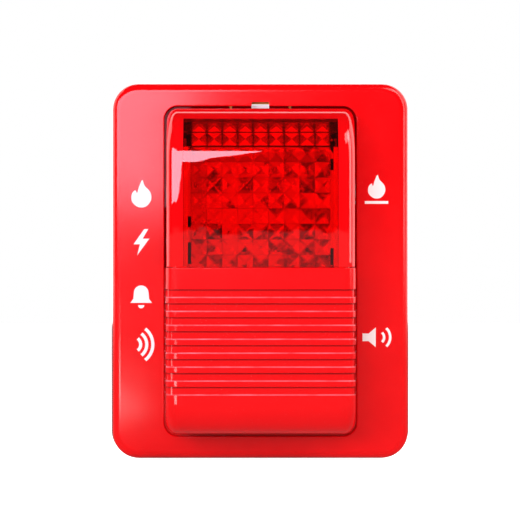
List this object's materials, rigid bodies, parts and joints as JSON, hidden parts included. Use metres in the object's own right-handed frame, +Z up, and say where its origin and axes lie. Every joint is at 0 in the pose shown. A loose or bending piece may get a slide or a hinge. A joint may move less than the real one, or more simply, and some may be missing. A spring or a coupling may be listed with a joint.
{
  "type": "fire alarm horn strobe",
  "caption": "Red wall-mounted fire alarm horn strobe: a clear lens over a ribbed horn cover in a rounded bezel, hooked and latched on a white wall base.",
  "frame": {"origin": "centre of the wall base's rear face, on the wall surface", "axes": "+X to the right as seen from the room, +Y into the wall so the front faces -Y, +Z up"},
  "size_m": [0.1192, 0.046, 0.1503],
  "materials": {
    "red_gloss": "moulded gloss",
    "red_clear": "clear tinted polycarbonate",
    "white_plastic": "fine moulded texture",
    "black_plastic": "fine moulded texture",
    "grey_plastic": "moulded",
    "green_plastic": "moulded",
    "board_green": "solder mask",
    "board_white": "white solder mask",
    "led_clear": "clear epoxy",
    "steel": "zinc plated",
    "steel_pin": "polished",
    "bronze": "phosphor bronze",
    "brass": "satin",
    "ceramic": "silvered ceramic",
    "capacitor_sleeve": "shrink sleeve",
    "ferrite": "ferrite and yellow tape",
    "mesh": "woven",
    "red_wire": "insulated wire",
    "chip_black": "epoxy"
  },
  "bodies": {
    "base": {"wall_base": "white_plastic", "hinge_pins": "steel_pin", "terminal_block": "green_plastic", "contact_fingers": "bronze", "latch_spring": "steel"},
    "head": {"front_frame": "red_gloss", "horn_cover": "red_gloss", "strobe_lens": "red_clear", "prism_lens": "red_clear", "reflector": "white_plastic", "led_board": "board_white", "strobe_leds": "led_clear", "led_spacers": "white_plastic", "led_screws": "steel", "rear_tray": "black_plastic", "main_board": "board_green", "board_screws": "steel", "contact_studs": "brass", "driver_chips": "chip_black", "storage_capacitors": "capacitor_sleeve", "boost_transformer": "ferrite", "chip_resistors": "chip_black", "board_header": "black_plastic", "volume_switch": "steel", "tone_switch": "grey_plastic", "sounder_body": "black_plastic", "piezo_disc": "brass", "piezo_ceramic": "ceramic", "sounder_cap": "black_plastic", "sounder_screws": "steel", "horn_duct": "grey_plastic", "outlet_mesh": "mesh", "sounder_leads": "red_wire", "frame_screws": "steel", "strike_plate": "bronze"},
    "release_latch": {"release_latch": "white_plastic"},
    "volume_slider": {"volume_slider": "white_plastic"},
    "tone_selector": {"tone_selector": "white_plastic"},
    "terminal_screw_1": {"terminal_screw_1": "steel"},
    "terminal_clamp_1": {"terminal_clamp_1": "steel"},
    "terminal_screw_2": {"terminal_screw_2": "steel"},
    "terminal_clamp_2": {"terminal_clamp_2": "steel"},
    "terminal_screw_3": {"terminal_screw_3": "steel"},
    "terminal_clamp_3": {"terminal_clamp_3": "steel"},
    "terminal_screw_4": {"terminal_screw_4": "steel"},
    "terminal_clamp_4": {"terminal_clamp_4": "steel"}
  },
  "joints": [
    {"name": "head_swing", "type": "hinge", "parent": "base", "child": "head", "pos_m": [0, -0.005, -0.069], "axis": [1, 0, 0], "range_deg": [0, 30]},
    {"name": "release_latch_slide", "type": "slide", "parent": "base", "child": "release_latch", "axis": [0, 0, 1], "range_m": [0, 0.002], "stiffness_N_per_m": 250, "springref_m": 0.004, "deforming": ["latch_spring"]},
    {"name": "volume_slide", "type": "slide", "parent": "head", "child": "volume_slider", "axis": [1, 0, 0], "range_m": [0, 0.003]},
    {"name": "tone_turn", "type": "hinge", "parent": "head", "child": "tone_selector", "pos_m": [-0.02, -0.012, -0.028], "axis": [0, 1, 0], "range_deg": [0, 315]},
    {"name": "terminal_screw_1_turn", "type": "hinge", "parent": "base", "child": "terminal_screw_1", "pos_m": [-0.015, -0.009, -0.0435], "axis": [0, 1, 0], "range_deg": [0, 1080]},
    {"name": "terminal_clamp_1_lift", "type": "slide", "parent": "base", "child": "terminal_clamp_1", "axis": [0, -1, 0], "range_m": [0, 0.0015]},
    {"name": "terminal_screw_2_turn", "type": "hinge", "parent": "base", "child": "terminal_screw_2", "pos_m": [-0.005, -0.009, -0.0435], "axis": [0, 1, 0], "range_deg": [0, 1080]},
    {"name": "terminal_clamp_2_lift", "type": "slide", "parent": "base", "child": "terminal_clamp_2", "axis": [0, -1, 0], "range_m": [0, 0.0015]},
    {"name": "terminal_screw_3_turn", "type": "hinge", "parent": "base", "child": "terminal_screw_3", "pos_m": [0.005, -0.009, -0.0435], "axis": [0, 1, 0], "range_deg": [0, 1080]},
    {"name": "terminal_clamp_3_lift", "type": "slide", "parent": "base", "child": "terminal_clamp_3", "axis": [0, -1, 0], "range_m": [0, 0.0015]},
    {"name": "terminal_screw_4_turn", "type": "hinge", "parent": "base", "child": "terminal_screw_4", "pos_m": [0.015, -0.009, -0.0435], "axis": [0, 1, 0], "range_deg": [0, 1080]},
    {"name": "terminal_clamp_4_lift", "type": "slide", "parent": "base", "child": "terminal_clamp_4", "axis": [0, -1, 0], "range_m": [0, 0.0015]}
  ],
  "couplings": [
    {"joint": "terminal_screw_1_turn", "follows": "terminal_clamp_1_lift", "rad_per_m": 12566},
    {"joint": "terminal_screw_2_turn", "follows": "terminal_clamp_2_lift", "rad_per_m": 12566},
    {"joint": "terminal_screw_3_turn", "follows": "terminal_clamp_3_lift", "rad_per_m": 12566},
    {"joint": "terminal_screw_4_turn", "follows": "terminal_clamp_4_lift", "rad_per_m": 12566}
  ]
}
